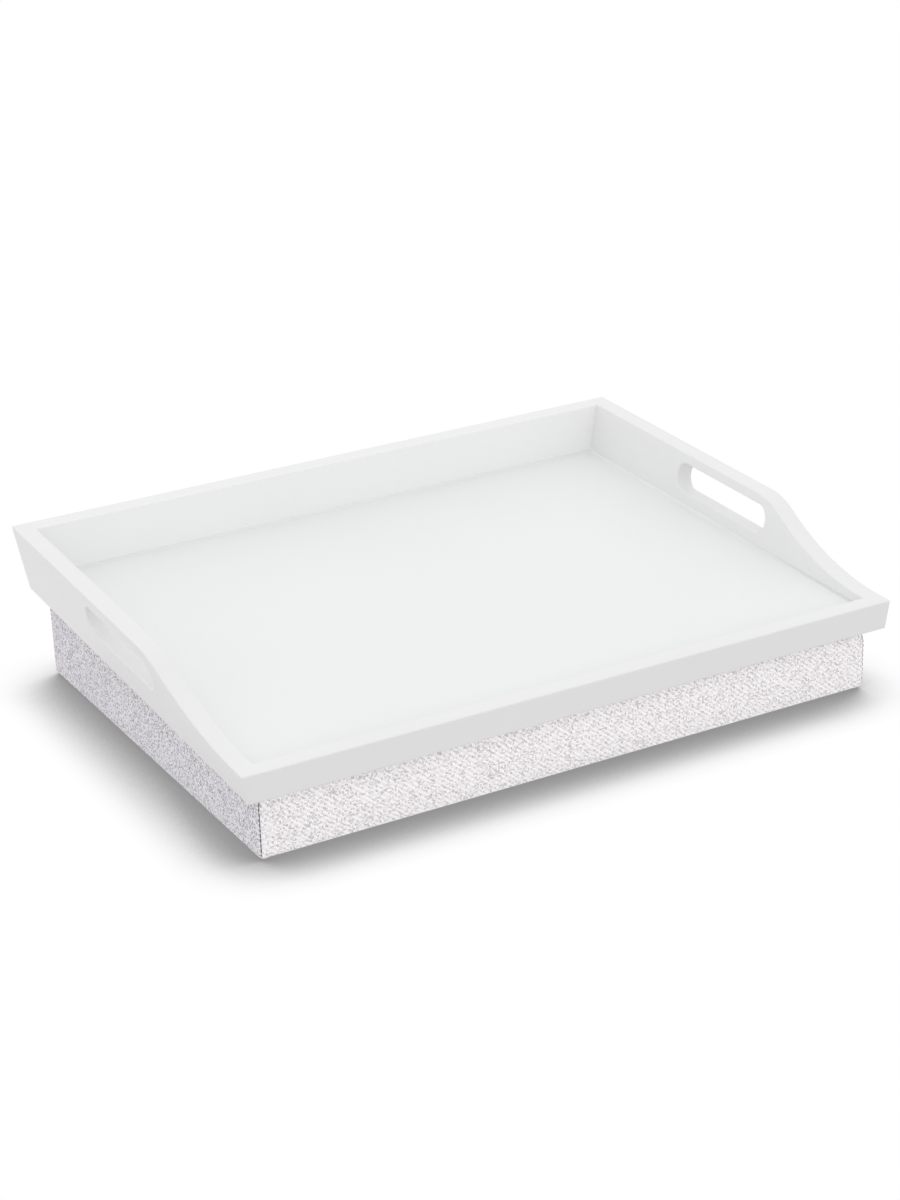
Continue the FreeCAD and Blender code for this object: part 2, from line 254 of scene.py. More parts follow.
strip_length = 0.090
strip_width = 0.025
strip_middle_x = 0.129
strip_middle_y = 0.123
tape_thickness = 0.0005
tape_ease = 0.0001  # how far its edge is rounded off
selvedge = 0.0015
hook_spacing = 0.002
spot_scatter = 0.08  # as a share of the spacing
hook_underside = 0.0059  # level of the base panel's underside, above the boards' bottom edges
wave_bands = 20 / (2 * math.pi)  # that a wave texture draws per unit at a scale of 1


def tubes(paths, sides, across, radii):
    """Tubes along many paths of the same number of points. Round each point stands a circle, in the plane of
    the given across directions and of the path's normal to them. The tubes taper by radii, one per point. A
    fan of quads closes each end, so the number of sides is even."""
    ahead = np.gradient(paths, axis=1)
    ahead /= np.linalg.norm(ahead, axis=2, keepdims=True)
    normal = np.cross(ahead, across)
    normal /= np.linalg.norm(normal, axis=2, keepdims=True)
    across = np.cross(normal, ahead)
    angles = np.linspace(0, 2 * np.pi, sides, endpoint=False)[None, None, :, None]
    circles = across[:, :, None] * np.cos(angles) + normal[:, :, None] * np.sin(angles)
    points = paths[:, :, None] + circles * radii[None, :, None, None]
    count, steps = paths.shape[:2]
    fan = np.array([(0, turn, turn + 1, turn + 2) for turn in range(1, sides - 1, 2)])
    last_circle = (steps - 1) * sides
    faces = np.concatenate([grid_faces(steps, sides, closed=True), fan[:, ::-1], fan + last_circle])
    offsets = np.arange(count)[:, None, None] * steps * sides
    return points, (faces[None] + offsets).reshape(-1, 4)


def flat_tape():
    """Tape about the z axis: its full rectangle half way up, and a smaller one at the bottom and at the top,
    drawn in by the ease and closed by a face."""
    outline = np.array([(-1, -1), (1, -1), (1, 1), (-1, 1)]) * (strip_length / 2, strip_width / 2)
    inner = outline - np.sign(outline) * tape_ease
    points = np.zeros((3, 4, 3))
    points[..., :2] = inner, outline, inner
    points[..., 2] = np.linspace(0, tape_thickness, 3)[:, None]
    caps = np.array([[3, 2, 1, 0], [8, 9, 10, 11]])
    return points.reshape(-1, 3), np.concatenate([grid_faces(3, 4, closed=True), caps])


def joined(*parts):
    """One pair of point and face arrays from several pairs."""
    points = [part[0].reshape(-1, 3) for part in parts]
    starts = np.cumsum([0] + [len(p) for p in points[:-1]])
    return np.concatenate(points), np.concatenate([part[1] + start for part, start in zip(parts, starts)])


def strip_spots(spacing, rng):
    """Rows of spots over a strip inside its selvedges, each shifted a little at random."""
    xs = np.arange(-strip_length / 2 + selvedge + spacing / 2, strip_length / 2 - selvedge, spacing)
    ys = np.arange(-strip_width / 2 + selvedge + spacing / 2, strip_width / 2 - selvedge, spacing)
    spots = np.stack(np.meshgrid(xs, ys), -1).reshape(-1, 2)
    return spots + rng.uniform(-spot_scatter, spot_scatter, spots.shape) * spacing


def nylon_tape(name, colour, gloss):
    """Woven nylon tape: an even white with fine yarns and low ribs across it. The gloss is the roughness of
    the shiniest yarn."""
    yarn_size = 0.0007
    rib_spacing = 0.0044  # several yarns wide, since single yarns are too fine to show
    rib_height = 0.00006
    gloss_range = 0.15
    material = new_material(name)
    place = add_node(material, "ShaderNodeTexCoord").outputs["Object"]
    rib = add_node(material, "ShaderNodeTexWave", {"Vector": place, "Scale": 1 / rib_spacing / wave_bands})
    speck = add_node(material, "ShaderNodeTexNoise", {"Vector": place, "Scale": 1 / yarn_size, "Detail": 1})
    height = add_node(material, "ShaderNodeMath", {0: rib, 1: speck}, operation="ADD")
    bump = add_node(material, "ShaderNodeBump", {"Height": height, "Distance": rib_height})
    rough = add_node(material, "ShaderNodeMapRange", {
        "Value": speck, "To Min": gloss, "To Max": gloss + gloss_range})
    tint = add_node(material, "ShaderNodeMix", {
        "Factor": speck, "A": linear(colour), "B": linear("#DCDCDD")}, data_type="RGBA")
    shader = add_node(material, "ShaderNodeBsdfPrincipled", {
        "Base Color": tint, "Roughness": rough, "Normal": bump, "IOR": 1.53})
    add_node(material, "ShaderNodeOutputMaterial", {"Surface": shader})
    return material


def moulded_hooks(spots):
    """A hook at each spot: a thin stem that rises from the tape and bends over, so each path is a line and
    then a half circle. Neighbouring hooks face opposite ways."""
    stem_height = 0.00035
    bend_radius = 0.0002
    thickness = np.array([0.00014, 0.00012, 0.00012, 0.0001, 0.00006])  # radii from the foot to the tip
    hook_sides = 4
    turn = np.linspace(0, np.pi, len(thickness) - 1)
    along = np.concatenate([[0], bend_radius * (1 - np.cos(turn))])
    up = np.concatenate([[0], stem_height + bend_radius * np.sin(turn)])
    facing = np.where(np.arange(len(spots)) % 2, 1, -1)[:, None]
    paths = np.zeros((len(spots), len(up), 3))
    paths[..., 0] = spots[:, :1] + along * facing
    paths[..., 1] = spots[:, 1:]
    paths[..., 2] = tape_thickness + up
    across = np.zeros_like(paths)
    across[..., 1] = 1
    return tubes(paths, hook_sides, across, thickness)


rng = np.random.default_rng(3)
hook_tape = nylon_tape("moulded_nylon_hook_tape", "#F2F2F2", 0.4)
for end, sign_y in (("back", 1), ("front", -1)):
    for side, sign_x in (("right", 1), ("left", -1)):
        points, faces = joined(flat_tape(), moulded_hooks(strip_spots(hook_spacing, rng)))
        place = (sign_x * strip_middle_x, sign_y * strip_middle_y, hook_underside)
        hanging = points * (1, -1, -1) + place
        strip = new_piece(f"hook_tape_{end}_{side}", in_place(hanging), faces, hook_tape)
        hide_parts(f"hook_strip_{end}_{side}")
        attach(strip, "tray")


# Cushion: a wedge-shaped cover of off-white heathered twill, cut as a top, a base and four sides and sewn
# inside out at every edge, then turned and filled with a bag of beads. The filling pushes each panel out
# between its seams; the floor flattens the base, and the boards hold the top edge in.

cushion_half_width = 0.20585
cushion_half_depth = 0.16333
corner_radius = 0.003
foot_radius = 0.0045
floor_bite = 0.0005  # how deep the floor flattens the round of the base
shoulder_radius = 0.013
cushion_top = 0.0032  # above the boards' bottom edges, in the level tray
seam_drop = 0.002  # from the cover's top and base faces to their seams
near_seam = np.array([0, 0.0010, 0.0022, 0.0040, 0.0070, 0.0115])  # columns beside a corner seam
column_spacing = 0.006
side_rows = 11
foot_rows = (0.62, 1.3)  # plain rows of the foot, by their turn in radians
foot_seam_rows = 0.1  # turn from its seam to the row on either side
shoulder_rows = (0.3, 0.6, 1.25)
shoulder_seam_rows = 0.08
cloth_step = (0.6137, 0.3371)  # from one panel's place on the cloth to the next one's
bead_pressure = 4.0
settling_frames = 20
swell_limit = 0.0022  # of the sides
swell_dies_away = (-0.012, -0.001)  # levels in the tray, from the full swell to none
crown_limit = 0.0014  # of the top, between the strips
crown_grows = (0.002, 0.03)  # distances from the strips, from no crown to the full one
seam_depth = 0.0006
same_level = 0.0001  # within which a point counts as level with the top
no_length = 1e-12  # keeps a length from being zero where it divides


def seam_to_seam(half):
    """Positions from -half to half: close together beside the seam at each end, and even between."""
    start = half - near_seam[-1]
    even = np.linspace(-start, start, round(2 * start / column_spacing) + 1)
    ends = half - near_seam[:-1]
    return np.concatenate([-ends, even, ends[::-1]])


def round_turns(start, seam, seam_rows, plain_rows):
    """Turns at which a rounded edge has its rows, in order: its ends, its seam, a row on either side of that,
    and plain rows."""
    return np.sort([start, seam - seam_rows, seam, seam + seam_rows, *plain_rows, np.pi / 2])


def side_profile():
    """The rows of the cushion's sides: how far each is drawn in, its level on the tray's upright axis, and
    its share of the tray's pitch. The foot is an arc on the floor, and the shoulder an arc under the tray.
    Also gives the rows of the two seams."""
    foot_start = math.acos(1 - floor_bite / foot_radius)
    foot_seam = math.acos(1 - (floor_bite + seam_drop) / foot_radius)
    foot_turns = round_turns(foot_start, foot_seam, foot_seam_rows, foot_rows)
    foot_height = foot_radius * (1 - np.cos(foot_turns)) - floor_bite
    foot_inset = foot_radius * (1 - np.sin(foot_turns))
    foot_level = (foot_height - tray_origin.z) / math.cos(tray_pitch)

    shoulder_seam = math.asin(1 - seam_drop / shoulder_radius)
    shoulder_turns = round_turns(0, shoulder_seam, shoulder_seam_rows, shoulder_rows)
    shoulder_level = cushion_top - shoulder_radius * (1 - np.sin(shoulder_turns))
    shoulder_inset = shoulder_radius * (1 - np.cos(shoulder_turns))

    shares = np.linspace(0, 1, side_rows + 2)[1:-1]
    side_level = foot_level[-1] + (shoulder_level[0] - foot_level[-1]) * shares
    inset = np.concatenate([foot_inset, np.zeros(side_rows), shoulder_inset])
    level = np.concatenate([foot_level, side_level, shoulder_level])
    pitch_share = np.concatenate([np.zeros(len(foot_turns)), shares, np.ones(len(shoulder_turns))])
    low_seam = np.searchsorted(foot_turns, foot_seam)
    high_seam = len(foot_turns) + side_rows + np.searchsorted(shoulder_turns, shoulder_seam)
    return inset, level, pitch_share, low_seam, high_seam


def rounded(x, y, half_x, half_y):
    """Moves points of a rectangle so that the squares round each corner's own square become arcs."""
    inner_x = np.clip(x, corner_radius - half_x, half_x - corner_radius)
    inner_y = np.clip(y, corner_radius - half_y, half_y - corner_radius)
    dx = x - inner_x
    dy = y - inner_y
    length = np.maximum(np.hypot(dx, dy), no_length)
    shrink = np.maximum(np.abs(dx), np.abs(dy)) / length
    return inner_x + dx * shrink, inner_y + dy * shrink


def section(x, y, inset, level, pitch_share):
    """Points of the cushion's full rectangle, drawn in and rounded, in a plane turned by a share of the
    tray's pitch through a level of the tray's upright axis."""
    half_x = cushion_half_width - inset
    half_y = cushion_half_depth - inset
    u, v = rounded(x * half_x / cushion_half_width, y * half_y / cushion_half_depth, half_x, half_y)
    tilt = tray_pitch * pitch_share
    middle = np.array(tray_origin + tray_turn @ Vector((0, 0, level)))
    return np.stack([u, v * math.cos(tilt), v * math.sin(tilt)], -1) + middle


def cushion_grid(inset, level, pitch_share):
    """Closed cover: a flat grid for the base, rings up the sides, and a flat grid for the top, whose borders
    are the first and the last ring. Also gives each ring's points, their places at the four corners, and the
    number of faces in the sides, which come first."""
    xs = seam_to_seam(cushion_half_width)
    ys = seam_to_seam(cushion_half_depth)
    nx = len(xs) - 1
    ny = len(ys) - 1
    flat_x, flat_y = np.meshgrid(xs, ys)
    across = np.concatenate([np.arange(nx), np.full(ny, nx), np.arange(nx, 0, -1), np.zeros(ny, int)])
    along = np.concatenate([np.zeros(nx, int), np.arange(ny), np.full(nx, ny), np.arange(ny, 0, -1)])
    border = along * (nx + 1) + across
    base = section(flat_x, flat_y, inset[0], level[0], pitch_share[0]).reshape(-1, 3)
    top = section(flat_x, flat_y, inset[-1], level[-1], pitch_share[-1]).reshape(-1, 3)
    rings = [section(xs[across], ys[along], *row) for row in zip(inset[1:-1], level[1:-1], pitch_share[1:-1])]
    points = np.concatenate([base, *rings, top])

    between = len(base) + np.arange(len(rings))[:, None] * len(border) + np.arange(len(border))
    top_start = len(points) - len(top)
    ring = np.concatenate([border[None], between, border[None] + top_start])
    wrapped = np.concatenate([ring, ring[:, :1]], 1)
    sides = wrapped.reshape(-1)[grid_faces(len(ring), len(border) + 1)]
    flat = grid_faces(ny + 1, nx + 1)
    faces = np.concatenate([sides, flat[:, ::-1], flat + top_start])
    corners = np.cumsum([0, nx, ny, nx])
    return points, faces, ring, corners, len(sides)


def cut_panels(points, faces, ring, corners, side_count):
    """Flat pattern of every face, in metres, and its panel: 0 for the top and base, which reach round to
    their seams, then 1 to 4 for the front, right, back and left. Along a side panel u is the distance along
    it and v the distance up it, so the weave hangs square to its edges. The top and base use x and y. Each
    panel is cut from its own part of the cloth."""
    wrapped = points[np.concatenate([ring, ring[:, :1]], 1)]
    middle_row = len(ring) // 2
    u = np.cumsum(np.linalg.norm(np.diff(wrapped[middle_row], axis=0), axis=1))
    u = np.concatenate([[0], u])
    v = np.cumsum(np.linalg.norm(np.diff(wrapped, axis=0), axis=2), axis=0)
    v = np.concatenate([np.zeros((1, v.shape[1])), v])
    pattern = np.stack([np.broadcast_to(u, v.shape), v], -1).reshape(-1, 2)
    uv = np.zeros((len(faces), 4, 2))
    uv[:side_count] = pattern[grid_faces(len(ring), ring.shape[1] + 1)]

    row, column = np.divmod(np.arange(side_count), ring.shape[1])
    past_seams = (row < low_seam) | (row >= high_seam)
    panel = np.zeros(len(faces), int)
    panel[:side_count] = np.where(past_seams, 0, np.searchsorted(corners, column, side="right"))
    flat = panel == 0
    uv[flat] = points[faces[flat]][:, :, :2]
    return uv + panel[:, None, None] * cloth_step, panel


def heathered_twill(name, flecks, warm, cool):
    """Twill of off-white and grey slub yarns: each yarn passes over two and under two, one step on from its
    neighbour, which gives a fine slanting rib. The grey in the yarn shows as short dark flecks, the pile of
    loose fibres as a pale bloom at the edges. A yarn's top is a sine arch across it times one along its
    float, bent by a power that fills it out."""
    warp_spacing = 0.00098
    weft_spacing = 0.00082
    yarns_over = 2  # and then under as many
    arch_power = 0.5
    yarn_relief = 0.00009
    slub_stretch = 3.0  # its length for its width
    slubs_across = 1.7  # in a yarn, so that neighbours differ
    weft_seed = 37.0  # keeps the weft's slubs from matching the warp's
    fleck_share = 0.7  # of a crossing's own tone, against the slub's
    tone_stops = (0.20, 0.35, 0.50, 0.65, 0.78)
    gap_level = 0.6  # relief below which the gap between yarns darkens
    gap_shade = 0.97
    cloud_size = 0.05
    material = new_material(name)
    pattern = add_node(material, "ShaderNodeUVMap", uv_map="pattern")
    yarns = add_node(material, "ShaderNodeVectorMath", {
        0: pattern, 1: (1 / warp_spacing, 1 / weft_spacing, 1)}, operation="MULTIPLY")
    crossing = add_node(material, "ShaderNodeVectorMath", {0: yarns}, operation="FLOOR")
    within = add_node(material, "ShaderNodeVectorMath", {0: yarns}, operation="FRACTION")
    cross = add_node(material, "ShaderNodeSeparateXYZ", {0: crossing})
    inside = add_node(material, "ShaderNodeSeparateXYZ", {0: within})
    place = add_node(material, "ShaderNodeSeparateXYZ", {0: yarns})

    diagonal = add_node(material, "ShaderNodeMath", {0: cross.outputs["X"], 1: cross.outputs["Y"]},
                        operation="ADD")
    step = add_node(material, "ShaderNodeMath", {0: diagonal, 1: 2 * yarns_over}, operation="FLOORED_MODULO")
    warp_up = add_node(material, "ShaderNodeMath", {0: step, 1: yarns_over - 0.5}, operation="LESS_THAN")
    half_step = add_node(material, "ShaderNodeMath", {0: step, 1: yarns_over}, operation="FLOORED_MODULO")
    along = add_node(material, "ShaderNodeMix", {"Factor": warp_up, "A": inside.outputs["X"],
                                                 "B": inside.outputs["Y"]})
    across = add_node(material, "ShaderNodeMix", {"Factor": warp_up, "A": inside.outputs["Y"],
                                                  "B": inside.outputs["X"]})
    float_share = add_node(material, "ShaderNodeMath", {0: half_step, 1: along}, operation="ADD")
    float_turn = add_node(material, "ShaderNodeMath", {0: float_share, 1: math.pi / yarns_over},
                          operation="MULTIPLY")
    float_arch = add_node(material, "ShaderNodeMath", {0: float_turn}, operation="SINE")
    yarn_turn = add_node(material, "ShaderNodeMath", {0: across, 1: math.pi}, operation="MULTIPLY")
    yarn_arch = add_node(material, "ShaderNodeMath", {0: yarn_turn}, operation="SINE")
    arch = add_node(material, "ShaderNodeMath", {0: float_arch, 1: yarn_arch}, operation="MULTIPLY")
    relief = add_node(material, "ShaderNodeMath", {0: arch, 1: arch_power}, operation="POWER")

    warp_along = add_node(material, "ShaderNodeMath", {0: place.outputs["Y"], 1: slub_stretch},
                          operation="DIVIDE")
    weft_along = add_node(material, "ShaderNodeMath", {0: place.outputs["X"], 1: slub_stretch},
                          operation="DIVIDE")
    warp_place = add_node(material, "ShaderNodeCombineXYZ", {0: cross.outputs["X"], 1: warp_along})
    weft_place = add_node(material, "ShaderNodeCombineXYZ", {
        0: weft_along, 1: cross.outputs["Y"], 2: weft_seed})
    yarn_place = add_node(material, "ShaderNodeMix", {"Factor": warp_up, "A": weft_place, "B": warp_place},
                          data_type="VECTOR")
    slub = add_node(material, "ShaderNodeTexNoise", {
        "Vector": yarn_place, "Scale": slubs_across, "Detail": 1})
    fleck = add_node(material, "ShaderNodeTexWhiteNoise", {"Vector": crossing})
    mixed = add_node(material, "ShaderNodeMix", {"Factor": fleck_share, "A": slub, "B": fleck})
    yarn_tint = add_node(material, "ShaderNodeValToRGB", {"Fac": mixed})
    tones = yarn_tint.color_ramp.elements
    for tone, stop, colour in zip(tones, (tone_stops[0], tone_stops[-1]), (flecks[0], flecks[-1])):
        tone.position = stop
        tone.color = linear(colour)
    for stop, colour in zip(tone_stops[1:-1], flecks[1:-1]):
        tones.new(stop).color = linear(colour)

    cloud = add_node(material, "ShaderNodeTexNoise", {
        "Vector": pattern, "Scale": 1 / cloud_size, "Detail": 2})
    tint = add_node(material, "ShaderNodeMix", {
        "Factor": cloud, "A": linear(warm), "B": linear(cool)}, data_type="RGBA")
    weft_tint = add_node(material, "ShaderNodeMix", {
        "Factor": warp_up, "A": linear("#F2F0F1"), "B": linear("#FFFFFF")}, data_type="RGBA")
    # Painted shade: the colour is darkened in the gaps between the yarns, where they shade each other.
    painted_gap_shade = add_node(material, "ShaderNodeMapRange", {
        "Value": relief, "From Max": gap_level, "To Min": gap_shade})
    for part in (weft_tint, yarn_tint, painted_gap_shade):
        tint = add_node(material, "ShaderNodeMix", {"Factor": 1.0, "A": tint, "B": part}, data_type="RGBA",
                        blend_type="MULTIPLY")
    bump = add_node(material, "ShaderNodeBump", {"Height": relief, "Distance": yarn_relief})
    shader = add_node(material, "ShaderNodeBsdfPrincipled", {
        "Base Color": tint, "Normal": bump, "Roughness": 0.9, "IOR": 1.45, "Sheen Weight": 0.15,
        "Sheen Roughness": 0.5})
    add_node(material, "ShaderNodeOutputMaterial", {"Surface": shader})
    return material


pale_flecks = ("#D1CFD0", "#F0EEEF", "#FFFEFE", "#FFFFFF", "#FFFFFF")
# Painted shade: the ends get a darker, cooler copy of the twill; their greyer flecks are partly real heather.
grey_flecks_and_painted_shade = ("#ABAAAE", "#DCDBDE", "#FBFAFC", "#FFFFFF", "#FFFFFF")
front_twill = heathered_twill("heathered_twill", pale_flecks, "#FFFDFD", "#FEFDFE")
shaded_end_twill = heathered_twill("heathered_twill_end_panels_painted_shade", grey_flecks_and_painted_shade, "#F9F6F8", "#F4F4F9")
inset, level, pitch_share, low_seam, high_seam = side_profile()
points, faces, ring, corners, side_count = cushion_grid(inset, level, pitch_share)
cushion = new_piece("cushion_cover", points, faces, front_twill)
cushion.data.materials.append(shaded_end_twill)
pattern = cushion.data.uv_layers.new(name="pattern")
uv, panel = cut_panels(points, faces, ring, corners, side_count)
pattern.uv.foreach_set("vector", uv.ravel())
# Painted shade: the right and left panels take the darker, cooler copy of the twill.
cushion.data.polygons.foreach_set("material_index", np.isin(panel, (2, 4)).astype(int))
sewn = np.unique(np.concatenate([ring[low_seam], ring[high_seam], ring[low_seam:high_seam, corners].ravel()]))
cushion.vertex_groups.new(name="sewn").add(sewn.tolist(), 1.0, "REPLACE")


def swollen(cushion, points):
    """Where the cover's points come to rest under the pressure of the beads, with the seams held."""
    cloth = cushion.modifiers.new("swell", "CLOTH")
    cloth.settings.vertex_group_mass = "sewn"
    cloth.settings.use_pressure = True
    cloth.settings.uniform_pressure_force = bead_pressure
    cloth.settings.effector_weights.gravity = 0
    cloth.point_cache.frame_end = settling_frames
    for step in range(1, settling_frames + 1):
        bpy.context.scene.frame_set(step)
    result = np.empty(points.size)
    settled = cushion.evaluated_get(bpy.context.evaluated_depsgraph_get()).data
    settled.vertices.foreach_get("co", result)
    cushion.modifiers.remove(cloth)
    bpy.context.scene.frame_set(1)
    return result.reshape(-1, 3)


def smooth_step(value, start, end):
    """0 before start, 1 after end, and a smooth cubic between."""
    share = np.clip((value - start) / (end - start), 0, 1)
    return share * share * (3 - 2 * share)


def held_in(points, swell):
    """The swollen cover, held in by what it touches. The swell is limited softly; it dies away where the
    boards grip the top edge, on top between the strips it may only fill the room under the base panel, and
    nothing goes below the floor."""
    x, y, z = ((points - np.array(tray_origin)) @ np.array(tray_turn)).T
    side_reach = swell_limit * (1 - smooth_step(z, *swell_dies_away))
    between_x = smooth_step(strip_middle_x - strip_length / 2 - np.abs(x), *crown_grows)
    between_y = smooth_step(strip_middle_y - strip_width / 2 - np.abs(y), *crown_grows)
    top_reach = crown_limit * np.maximum(between_x, between_y)
    reach = np.where(z > cushion_top - same_level, top_reach, side_reach)
    length = np.maximum(np.linalg.norm(swell, axis=1), no_length)
    limited = reach * np.tanh(length / np.maximum(reach, no_length))
    held = points + swell * (limited / length)[:, None]
    held[:, 2] = np.maximum(held[:, 2], 0)
    return held


points = held_in(points, swollen(cushion, points) - points)
cushion.data.vertices.foreach_set("co", points.ravel())
cushion.data.update()
outwards = np.empty(points.size)
cushion.data.vertex_normals.foreach_get("vector", outwards)
outwards = outwards.reshape(-1, 3)
points[sewn] -= outwards[sewn] * seam_depth
points[:, 2] = np.maximum(points[:, 2], 0)
cushion.data.vertices.foreach_set("co", points.ravel())
cushion.data.update()
fullness = cushion.modifiers.new("fullness", "SUBSURF")
fullness.levels = 1
fullness.render_levels = 1
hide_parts("cover_top", "cover_bottom", "cover_front", "cover_back", "cover_right", "cover_left",
            "bead_bag")
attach(cushion, "cushion")


# Corner seams of the cover: the side panels are lockstitched inside out in a slate-grey thread. At each
# corner the turned seam gapes a little, and the thread shows in it as a line of short stitches. Their dark
# grey is partly painted shade, a dark line that stands in for the shadow down in the gaping seam.

stitch_length = 0.0032
stitch_gap = 0.0001
stitch_steps = 6
thread_radius = 0.00032
thread_rise = 0.00010
thread_sides = 6
sunk_share = 1 / 3  # of its radius, by which a thread's ends sink into the needle holes
narrow_share = 0.7  # of its radius, which a thread keeps at its ends


def even_steps(path, step):
    """Points a step apart along a line of points."""
    along = np.concatenate([[0], np.cumsum(np.linalg.norm(np.diff(path, axis=0), axis=1))])
    stops = np.arange(0, along[-1], step)
    return np.stack([np.interp(stops, along, path[:, axis]) for axis in range(3)], 1)


def stitches(path, outward):
    """Stitches along a line: each is a thread that rises out of one needle hole, arches by a sine over its
    length and sinks into the next, and is thinner towards both ends."""
    holes = even_steps(path, stitch_length)
    share = np.linspace(0, 1, stitch_steps)
    arch = np.sin(np.pi * share)
    reach = stitch_gap / stitch_length / 2 + share * (1 - stitch_gap / stitch_length)
    spans = holes[:-1, None] + (holes[1:] - holes[:-1])[:, None] * reach[:, None]
    paths = spans + outward * thread_radius * (arch - sunk_share)[:, None]
    side = np.cross(holes[-1] - holes[0], outward)
    across = np.broadcast_to(side / np.linalg.norm(side), paths.shape)
    return tubes(paths, thread_sides, across, thread_radius * (narrow_share + (1 - narrow_share) * arch))


def spun_thread(name, colour, shade):
    """Spun polyester thread: matt, with the slant of its twist showing as fine light and dark bands. The
    bands are painted light and shade of the twist's ridges, laid over their bump.
    """
    twist_spacing = 0.0025  # drawn coarser than the real twist, which is too fine to show
    twist_depth = 0.00005
    material = new_material(name)
    place = add_node(material, "ShaderNodeTexCoord").outputs["Object"]
    twist = add_node(material, "ShaderNodeTexWave", {
        "Vector": place, "Scale": 1 / twist_spacing / wave_bands, "Distortion": 1.0},
        bands_direction="DIAGONAL")
    # Painted light and shade: the twist's ridges drawn as lighter and darker colour.
    tint = add_node(material, "ShaderNodeMix", {"Factor": twist, "A": linear(colour), "B": linear(shade)},
                    data_type="RGBA")
    bump = add_node(material, "ShaderNodeBump", {"Height": twist, "Distance": twist_depth})
    shader = add_node(material, "ShaderNodeBsdfPrincipled", {
        "Base Color": tint, "Roughness": 0.75, "Normal": bump})
    add_node(material, "ShaderNodeOutputMaterial", {"Surface": shader})
    return material


seam_shade_thread = spun_thread("slate_polyester_thread_painted_seam_shade", "#5B5F68", "#3C4048")
corner_places = (("front_left", -1, -1), ("front_right", 1, -1), ("back_right", 1, 1), ("back_left", -1, 1))
for (name, x, y), column in zip(corner_places, corners):
    outward = np.array([x, y, 0]) / math.sqrt(2)
    line = points[ring[low_seam:high_seam + 1, column]] + outward * thread_rise
    thread = new_piece(f"corner_stitches_{name}", *stitches(line, outward), seam_shade_thread)
    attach(thread, "cushion")


# Loop strips: soft brushed nylon tape, a pile of fine loops on a woven backing, sewn along its edges to the
# cover's top in white thread, where the hook strips come down on it.

loop_spacing = 0.0017
loop_steps = 6
loop_sides = 4
loop_half_width = 0.00055
pile_heights = (0.00045, 0.00062)
pile_lean = 0.0003  # how far a loop's top leans at most, along x and along y
fibre_radius = 0.00009
sewing_inset = 0.0008  # of the thread's line from the tape's edge


def brushed_loops(spots, rng):
    """A loop at each spot: half an ellipse that stands on the tape, leans a little and faces any way."""
    turn = np.linspace(0, np.pi, loop_steps)
    heading = rng.uniform(0, 2 * np.pi, len(spots))
    height = rng.uniform(*pile_heights, len(spots))
    lean = rng.uniform(-pile_lean, pile_lean, (len(spots), 2))
    ahead = np.stack([np.cos(heading), np.sin(heading)], 1)
    paths = np.zeros((len(spots), len(turn), 3))
    span = loop_half_width * np.cos(turn)
    paths[..., :2] = spots[:, None] + ahead[:, None] * span[:, None] + lean[:, None] * np.sin(turn)[:, None]
    paths[..., 2] = tape_thickness + height[:, None] * np.sin(turn)
    across = np.zeros_like(paths)
    across[..., :2] = np.stack([-ahead[:, 1], ahead[:, 0]], 1)[:, None]
    return tubes(paths, loop_sides, across, np.full(len(turn), fibre_radius))


def sewing_lines():
    """The four sides of a rectangle just inside the tape's edge, as a line of two points each."""
    x = strip_length / 2 - sewing_inset
    y = strip_width / 2 - sewing_inset
    corners = np.array([(-x, -y, tape_thickness), (x, -y, tape_thickness), (x, y, tape_thickness),
                        (-x, y, tape_thickness)])
    return np.stack([corners, np.roll(corners, -1, axis=0)], 1)


loop_tape = nylon_tape("brushed_nylon_loop_tape", "#EFEFF0", 0.75)
white_thread = spun_thread("white_polyester_thread", "#F4F4F4", "#DADADC")
upright = np.array([0.0, 0.0, 1.0])
for end, sign_y in (("back", 1), ("front", -1)):
    for side, sign_x in (("right", 1), ("left", -1)):
        place = np.array([sign_x * strip_middle_x, sign_y * strip_middle_y, cushion_top])
        points, faces = joined(flat_tape(), brushed_loops(strip_spots(loop_spacing, rng), rng))
        strip = new_piece(f"loop_tape_{end}_{side}", in_place(points + place), faces, loop_tape)
        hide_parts(f"loop_strip_{end}_{side}")
        points, faces = joined(*[stitches(line, upright) for line in sewing_lines()])
        thread = new_piece(f"loop_stitches_{end}_{side}", in_place(points + place), faces, white_thread)
        for piece in (strip, thread):
            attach(piece, "cushion")


# Studio: the cushion stands on a white floor in an even white room, with one low softbox in front of it. A
# flag keeps the softbox off the front rail and the ends beside it, which the photograph shows in shade. The
# camera is where it was for the photograph.

floor_size = 6.0
floor_glow = 0.68  # on the object, where the background's white is 1
room_glow = 1.005
painted_shadow_lean = (0.28, 0.19, 0.94)  # where the painted shadow's sky leans: up, a little back and right, where no lamp stands
shadow_reach = 0.049
shadow_samples = 12
shadow_start = 0.34  # open share of a point's sky at which the shadow is darkest
shadow_dark = 0.30


def background_rays(material):
    """1 for rays that have to find the background white, from the camera, a gloss or glass, and else 0."""
    rays = add_node(material, "ShaderNodeLightPath").outputs
    direct = add_node(material, "ShaderNodeMath", {0: rays["Is Camera Ray"], 1: rays["Is Glossy Ray"]},
                      operation="MAXIMUM")
    return add_node(material, "ShaderNodeMath", {0: direct, 1: rays["Is Transmission Ray"]},
                    operation="MAXIMUM")


